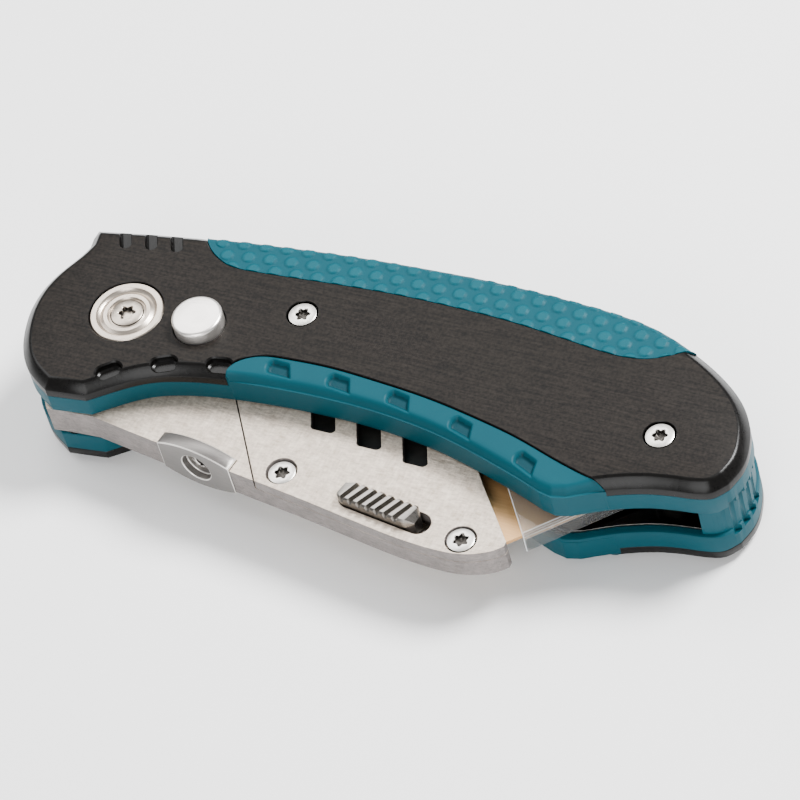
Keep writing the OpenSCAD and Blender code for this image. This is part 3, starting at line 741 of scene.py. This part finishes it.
def pocket_depth(x, y):
    """How deep the pad is scooped at (x, y): round at the left, slanted at the right."""
    deepest = 0.0
    for (cx, cy), turn in POCKETS:
        a = math.radians(-turn)
        px = (x - cx) * math.cos(a) - (y - cy) * math.sin(a)
        py = (x - cx) * math.sin(a) + (y - cy) * math.cos(a)
        slant = px + py * 0.55
        inside = min(1.45 - abs(py), 2.3 - slant, 2.3 + px - 0.45 * py * py)
        deepest = max(deepest, min(max(inside / 0.95, 0.0), 1.0))
    return deepest * deepest * (3 - 2 * deepest)


def belly_pad(side, rear):
    columns = 330
    line = smooth(BELLY_INLAY, 14)
    gap = [p - Vector((-0.03, 0.1)) for p in line]
    inner = stretch(gap, (21.1, -7.3), (86.9, -10.95), columns)
    lower = smooth([*BUTT], 16) + [Vector(HEEL[0])] + smooth(BELLY, 24)
    lower = lower[::-1]
    outer = stretch(lower, (21.4, -7.3), (87.1, -11.0), columns)
    bend, fall = 0.62, 1.7

    def height(u, v, p):
        at = min(round(u * (columns - 1)), columns - 1)
        width = (outer[at] - inner[at]).length
        from_edge = (1 - v) * width
        slope = 0.32 * min(v / bend, 1.0) + 0.9 * max(v - bend, 0.0)
        drop = max(fall - from_edge, 0.0) ** 2 / fall
        ends = min(u / 0.02, (1 - u) / 0.03, 1.0)
        return max(FACE - 0.2 - slope - drop - 0.85 * pocket_depth(p.x, p.y) * ends, FACE - 1.9)

    # The scoops' floors take the darker teal as painted shade.
    return moulding(side + "_scooped_belly_pad", inner, outer, height, rear, pocket_depth, TEAL_SCOOP_SHADE, 40)


def liner_pocket():
    """The liner's outline with its clearance, ended just past the butt block's inner face."""
    rim = inset(OUTLINE, LINER_INSET)
    butt = [Vector(p) + Vector((0.3, 0.1)) for p in BUTT_INNER]
    first = nearest(rim, butt[-1])
    last = nearest(rim, butt[0])
    return clockwise(rim[:first] + butt[::-1] + rim[last + 1:])


def grip_plate(side, rear):
    rings = [(GRIP_RIM, 0.35), (GRIP_RIM + 0.12, 0.12), (GRIP_RIM + 0.3, 0.03), (SCALE_LOW - 0.05, 0.03),
             (SCALE_LOW, 0.1)]
    verts, faces = loft([flat_ring(inset(OUTLINE, d), z) for z, d in rings])
    made = piece(side + "_teal_grip", "handle", "grip_teal", TEAL, verts, faces, rear)
    holes = [((0, 0), BARREL_HOLE_R)] + [(s, POST_HOLE_R) for s in SCALE_SCREWS]
    holes.append((BUTTON[:2], REAR_LOCK_HOLE_R if rear else BUTTON_HOLE_R))
    cutters = [prism("hole", round_loop(c, r), GRIP_RIM - 1, SCALE_LOW + 1, 0, rear) for c, r in holes]
    cutters.append(prism("liner_pocket", liner_pocket(), GRIP_RIM - 1, LINER_OUT, 0, rear))
    cutters.append(prism("liner_tab", round_loop(LINER_TAB, LINER_TAB_R), GRIP_RIM - 1, LINER_OUT, 0, rear))
    for centre in BUTT_RIBS:
        rib = round_loop(centre, BUTT_RIB_R, 24)
        cutters.append(prism("rib", rib, GRIP_RIM - 1, GRIP_RIM + 1.1, 0, rear))
    cut(made, cutters)
    finish_off(made)
    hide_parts(side + "_grip")
    return made


# ---------------------------------------------------------------- screws, caps and the button

def star(r, count=72):
    """A six-lobed driver recess, as a loop of (x, y)."""
    return [Vector((r * (0.86 + 0.14 * math.cos(6 * math.tau * i / count)) * math.cos(math.tau * i / count),
                    r * (0.86 + 0.14 * math.cos(6 * math.tau * i / count)) * math.sin(math.tau * i / count)))
            for i in range(count)]


def star_screw(name, body, finish, at, r, thick, star_r, turn, shank_r, shank_l):
    """A flat-headed screw. at is its head's top in the frame and turn takes its axis from Z."""
    count = 72
    steps = [math.tau * i / count for i in range(count)]
    ring = lambda rad, z: [(rad * math.cos(a), rad * math.sin(a), z) for a in steps]
    lobes = star(star_r, count)
    flared = star(star_r * 1.09, count)
    rings = [ring(shank_r, -thick - shank_l), ring(shank_r, -thick), ring(r, -thick), ring(r, -0.28),
             ring(r - 0.07, -0.1), ring(r - 0.26, 0.0), flat_ring(flared, 0.0), flat_ring(lobes, -0.08),
             flat_ring(lobes, -0.75), [(p.x * 0.25, p.y * 0.25, -0.95) for p in lobes]]
    verts, faces = loft(rings)
    spin = turn.to_4x4()
    shifted = [spin @ Vector(v) + at for v in verts]
    made = piece(name, body, "bright_steel", finish, shifted, faces, False, 30, (STAR_RECESS_SHADE,))
    # Painted shade: the driver recess and the side of the head take the near-black steel.
    for face in made.data.polygons:
        local = spin.inverted() @ (from_pivot(face.center) - at)
        out = math.hypot(local.x, local.y)
        if (out < star_r * 0.97 and -1.0 < local.z < -0.05) or (out > r - 0.12 and local.z < -0.03):
            face.material_index = 1
    return finish_off(made)


def group(pieces, node):
    for made in pieces:
        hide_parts(node)


OVER = Matrix.Rotation(math.pi, 3, "X")


def scale_screws():
    for side, rear in (("front", False), ("rear", True)):
        made = []
        for i, (x, y) in enumerate(SCALE_SCREWS):
            at = Vector((x, y, 0.1 if rear else FACE - 0.1))
            made.append(star_screw(f"{side}_scale_screw_{i + 1}", "handle", BRIGHT, at, 2.29, 1.1, 1.22,
                                   OVER if rear else Matrix.Rotation(0.3 + i, 3, "Z"), 1.15, 4.2))
        group(made, side + "_screws")


def cover_screws():
    made = []
    for i, (x, y) in enumerate(COVER_SCREWS):
        at = Vector((x, y, HOLDER_TOP - (0.35 if i == 0 else 0.08)))
        thick = 0.9 if i == 0 else 1.1
        turn = Matrix.Rotation(0.2 + 0.5 * i, 3, "Z")
        made.append(star_screw(f"cover_screw_{i + 1}", "blade_holder", BRIGHT, at, 2.22, thick, 1.25, turn,
                               0.95, 2.7))
    group(made, "cover_screws")


def pivot_caps():
    inner, outer = 2.75, CAP_R
    for side, rear in (("front", False), ("rear", True)):
        top = FACE - 0.1
        profile = [(inner, top - 1.0), (outer, top - 1.0), (outer, top - 0.22), (outer - 0.22, top),
                   (4.95, top), (4.78, top - 0.26), (4.4, top - 0.48), (4.02, top - 0.3),
                   (3.8, top - 0.18), (3.2, top - 0.2),
                   (3.0, top - 0.5), (inner, top - 0.4), (inner, top - 1.0)]
        if rear:
            profile = [(0.02, top - 1.0)] + profile[1:-2] + [(2.7, top - 0.3), (0.02, top - 0.3)]
        made = lathe(side + "_pivot_cap", "handle", "bright_steel", CAP, (0, 0), profile, rear)
        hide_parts("pivot_cap_" + side)
    screw = star_screw("pivot_star_screw", "handle", CAP, Vector((0, 0, FACE - 0.28)), 2.66, 0.9, 1.38,
                       Matrix.Rotation(0.35, 3, "Z"), 1.45, 7.0)
    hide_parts("pivot_screw")


def lock_button():
    r, top = 4.1, BUTTON_TOP
    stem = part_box("lock_plunger")[0].z / MM
    profile = [(0.02, stem), (1.2, stem), (1.2, 9.0), (1.7, 9.0), (1.7, 15.9), (r, 15.9), (r, top - 0.5),
               (r - 0.06, top - 0.3), (r - 0.18, top - 0.14), (r - 0.36, top - 0.03), (r - 0.52, top),
               (1.6, top - 0.02), (0.02, top - 0.03)]
    made = lathe("lock_button", "lock_button", "bright_steel", BUTTON_STEEL, BUTTON[:2], profile)
    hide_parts("lock_plunger")


# ---------------------------------------------------------------- slider and blade

def along_holder(centre, x, y):
    c, s = math.cos(TILT), math.sin(TILT)
    return Vector((centre.x + x * c - y * s, centre.y + x * s + y * c))


def ribbed_slider():
    """A dark slider with slanted ribs cut across it and a bevelled front end."""
    low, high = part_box("release_slider")
    base = low.z / MM
    top = high.z / MM
    middle_at = from_pivot(middle("release_slider"))
    half_l, half_w = 6.98, 1.84
    slant = math.tan(math.radians(22))
    ribs, rib_depth, flat_l = 7, 0.7, 1.35
    across = 12
    pitch = (2 * half_l - 2 * flat_l) / ribs
    stations = [-half_l, -half_l + 0.35, -half_l + flat_l]
    tops = [top - 0.8, top - 0.15, top]
    for i in range(ribs):
        start = -half_l + flat_l + i * pitch
        for part, level in ((0.14, top), (0.30, top - rib_depth), (0.58, top - rib_depth), (0.72, top),
                            (1.0, top)):
            stations.append(start + part * pitch)
            tops.append(level)
    stations += [half_l - 0.9, half_l]
    tops += [top - 0.05, top - 1.1]
    columns = []
    for x, level in zip(stations, tops):
        past = max(abs(x) - (half_l - half_w), 0)
        squeeze = min(1.0, math.sqrt(max(1 - past ** 2 / (half_w + 0.25) ** 2, 0.05)))
        column = []
        for k in range(across + 1):
            y = -half_w * squeeze + 2 * half_w * squeeze * k / across
            lean = x + y * slant * max(0.0, 1 - (abs(x) / half_l) ** 6)
            round_off = 0.28 * max(0.0, (abs(2 * k / across - 1) - 0.8) / 0.2) ** 2
            column.append((*along_holder(middle_at, lean, y), level - round_off))
        column.append((*along_holder(middle_at, x, half_w * squeeze), base))
        column.append((*along_holder(middle_at, x, -half_w * squeeze), base))
        columns.append(column)
    verts, faces = loft(columns)
    made = piece("ribbed_release_slider", "blade_release", "slider_steel", SLIDER, verts, faces, False, 28)
    finish_off(made)
    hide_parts("release_slider")


def ground_blade():
    """The trapezoid blade: notched back, and a ground bevel down to its edge."""
    low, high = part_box("blade")
    z0, z1 = low.z / MM, high.z / MM
    back, tall, long, run = Vector((72.9, -19.4)), 18.7, 60.0, 18.7 / math.tan(math.radians(53))
    grind = 2.6

    def at(x, y):
        return along_holder(back, x, y)

    notched = [(2 * run - long, 0)]
    for x in (-24.5, -9.5):
        notched += [(x - 1.5, 0), (x - 1.5, 1.7), (x - 1.15, 2.3),
                    (x + 1.15, 2.3), (x + 1.5, 1.7), (x + 1.5, 0)]
    notched += [(0, 0)]
    slope = run / tall
    right = (slope * (tall - grind), tall - grind)
    left = (2 * run - long - slope * (tall - grind), tall - grind)
    loop = [*notched, right, left]
    edge_right, edge_left = (run, tall), (run - long, tall)
    verts = [(*at(*p), z0) for p in loop] + [(*at(*p), z1) for p in loop]
    n = len(loop)
    thin = (z0 + z1) / 2
    verts += [(*at(*edge_right), thin), (*at(*edge_left), thin)]
    faces = [tuple(range(n)), tuple(range(n, 2 * n))]
    for k in range(n):
        if k != n - 2:
            m = (k + 1) % n
            faces.append((k, m, n + m, n + k))
    a, b, tip, tail = n - 2, n - 1, 2 * n, 2 * n + 1
    faces += [(a, b, tail, tip), (n + a, n + b, tail, tip), (a, n + a, tip), (b, n + b, tail)]
    made = piece("gold_trapezoid_blade", "blade_holder", "blade_gold", GOLD, verts, faces, False, 10)
    finish_off(made)
    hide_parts("blade")


# ---------------------------------------------------------------- CAD nodes that stay

def dress(node, material, width=0.0, rim=None):
    """Gives a CAD node its finish, and breaks its sharp edges by width millimetres, in the rim's finish."""
    kept = frame["nodes"][node]
    kept.data.materials.clear()
    kept.data.materials.append(material)
    if width:
        weld = kept.modifiers.new("weld", "WELD")
        weld.merge_threshold = 0.001 * MM
        edge = kept.modifiers.new("edge", "BEVEL")
        edge.width = width * MM
        edge.segments = 2
        edge.limit_method = "ANGLE"
        edge.angle_limit = math.radians(32)
        edge.harden_normals = True
        if rim:
            kept.data.materials.append(rim)
            edge.material = 1


def dress_all():
    for node in ("holder_frame", "holder_cover"):
        dress(node, HOLDER, 0.12)
    # Painted highlight: the thumb plate's bevels take the bright screw steel, far lighter than the plate.
    dress("thumb_plate", THUMB, 0.16, BRIGHT)
    # Painted highlight: the guard's bevels take the near-white edge colour.
    dress("blade_guard", GUARD, 0.12, GUARD_EDGE_HIGHLIGHT)
    for node in ("back_spacer", "butt_block"):
        dress(node, TEAL, 0.15)
    for node in ("front_liner", "rear_liner", "lock_collar", "lock_seat"):
        dress(node, LINER, 0.16 if "liner" in node else 0.0, BRIGHT)
    for node in ("pivot_barrel", "spacer_posts", "spacer_dowels"):
        dress(node, BRIGHT)
    for node in ("pivot_washer_front", "pivot_washer_rear", "tang_bush"):
        dress(node, BRONZE)
    for node in ("lock_spring", "release_spring"):
        dress(node, BRIGHT)
    dress("release_catch", BLACK_PLATE)


def thumb_screw():
    made = star_screw("thumb_star_screw", "blade_holder", DULL,
                      from_pivot(middle("thumb_screw")) + THUMB_OUT * 1.9, 2.12, 0.6,
                      1.25, Matrix.Rotation(TILT, 3, "Z") @ Matrix.Rotation(math.pi / 2, 3, "X"), 0.95, 4.0)
    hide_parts("thumb_screw")


THUMB_OUT = Vector((math.sin(TILT), -math.cos(TILT), 0))


# ---------------------------------------------------------------- set

def floor():
    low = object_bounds()[0]
    size = 3.0
    mesh = bpy.data.meshes.new("floor")
    corners = [(-size, -size, 0), (size, -size, 0), (size, size, 0), (-size, size, 0)]
    mesh.from_pydata(corners, [], [(0, 1, 2, 3)])
    made = bpy.data.objects.new("floor", mesh)
    bpy.context.scene.collection.objects.link(made)
    paper = Finish("pale_paper", (0.96, 0.96, 0.958), 0.8, 0.0, Specular_IOR_Level=0.15)
    mesh.materials.append(paper.material)
    made.location.z = low[2]
    made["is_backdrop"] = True


def light(name, azimuth, elevation, distance, size, power, aim):
    data = bpy.data.lights.new(name, "AREA")
    data.shape = "DISK"
    data.size = size
    data.energy = power
    made = bpy.data.objects.new(name, data)
    a, e = math.radians(azimuth), math.radians(elevation)
    out = Vector((math.sin(a) * math.cos(e), -math.cos(a) * math.cos(e), math.sin(e)))
    made.location = aim + out * distance
    made.rotation_euler = (-out).to_track_quat("-Z", "Y").to_euler()
    bpy.context.scene.collection.objects.link(made)


def camera():
    """A long lens from the belly side, above and to the butt's side, rolled a little."""
    data = bpy.data.cameras.new("camera")
    data.lens = 202.5
    data.sensor_width = 36.0
    made = bpy.data.objects.new("camera", data)
    azimuth, elevation, roll = math.radians(37.337), math.radians(48.903), math.radians(16.722)
    flat = math.cos(elevation)
    out = Vector((math.sin(azimuth) * flat, -math.cos(azimuth) * flat, math.sin(elevation)))
    aim = place(48.263, -1.978, 15.0)
    made.location = aim + out * 0.68979
    turn = (-out).to_track_quat("-Z", "Y") @ Matrix.Rotation(-roll, 3, "Z").to_quaternion()
    made.rotation_euler = turn.to_euler()
    bpy.context.scene.collection.objects.link(made)
    bpy.context.scene.camera = made


def world():
    made = bpy.data.worlds.new("studio")
    made.use_nodes = True
    made.node_tree.nodes["Background"].inputs[0].default_value = (0.97, 0.98, 1.0, 1)
    made.node_tree.nodes["Background"].inputs[1].default_value = 0.45
    bpy.context.scene.world = made


for side, rear in (("front", False), ("rear", True)):
    scale_plate(side, rear)
    grip = grip_plate(side, rear)
    for pad in (back_pad(side, rear), belly_pad(side, rear)):
        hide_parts(side + "_grip")
scale_screws()
cover_screws()
pivot_caps()
lock_button()
thumb_screw()
ribbed_slider()
ground_blade()
dress_all()
floor()
world()
camera()
AIM = Vector((0, 0, 0.01))
light("softbox_back", 142, 50, 0.8, 0.3, 18, AIM)
light("softbox_high", 217, 50, 0.9, 0.45, 3.4, AIM)
light("softbox_left", -95, 48, 0.8, 0.5, 3.0, AIM)
light("softbox_front", 12, 30, 0.9, 0.6, 6.5, AIM)
